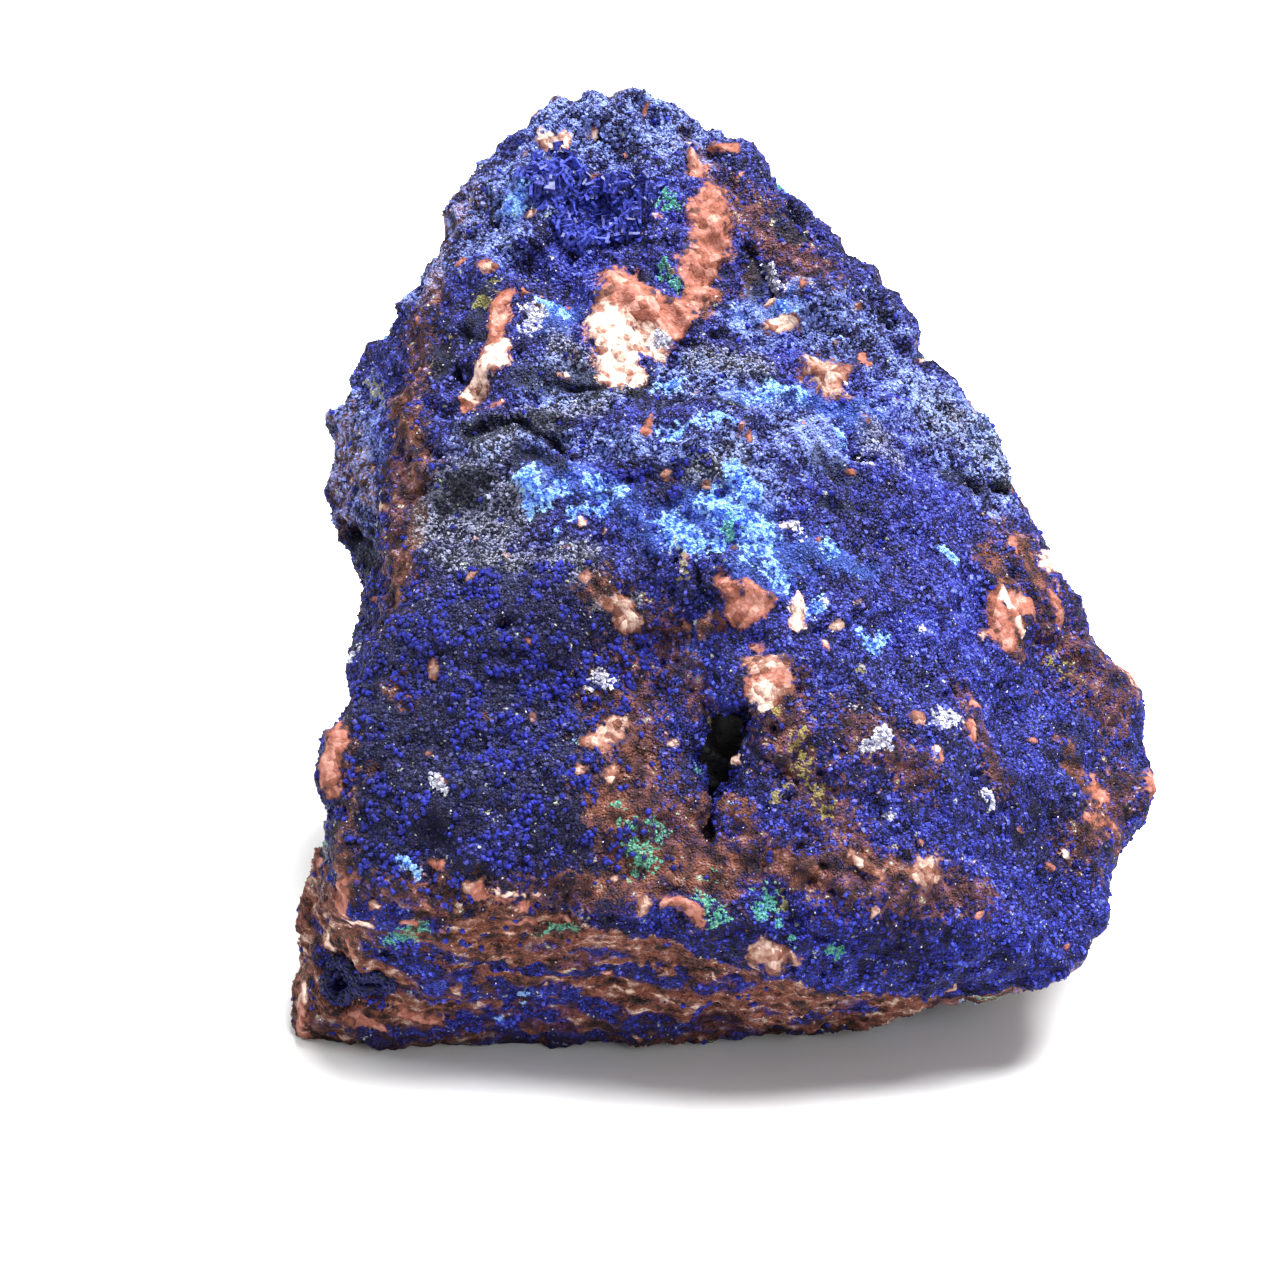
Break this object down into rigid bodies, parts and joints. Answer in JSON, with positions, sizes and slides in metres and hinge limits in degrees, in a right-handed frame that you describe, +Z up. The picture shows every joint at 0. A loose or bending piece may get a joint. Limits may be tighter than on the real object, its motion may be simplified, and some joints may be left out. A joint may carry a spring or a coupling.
{
  "type": "azurite specimen",
  "caption": "Free-standing wedge of sandstone coated with blue azurite, with quartz and feldspar fragments and crystal-lined hollows, resting on its broken base.",
  "frame": {"origin": "on the resting plane, under the middle of the block's bounding box", "axes": "+Z up from the base, +Y away from the viewer of the main azurite face, +X to that viewer's right along the block's longest side"},
  "size_m": [0.1532, 0.132, 0.1413],
  "materials": {
    "azurite_on_sandstone": "granular azurite crust over iron-stained sandstone",
    "bladed_azurite": "small glassy azurite blades",
    "velvet_azurite": "velvety dark azurite",
    "dark_vug_lining": "dark iron oxide crust"
  },
  "bodies": {
    "root": {"rock": "azurite_on_sandstone", "upper_hollow_crystals": "bladed_azurite", "notch_crystals": "velvet_azurite", "vug_crystals": "dark_vug_lining"}
  },
  "joints": []
}
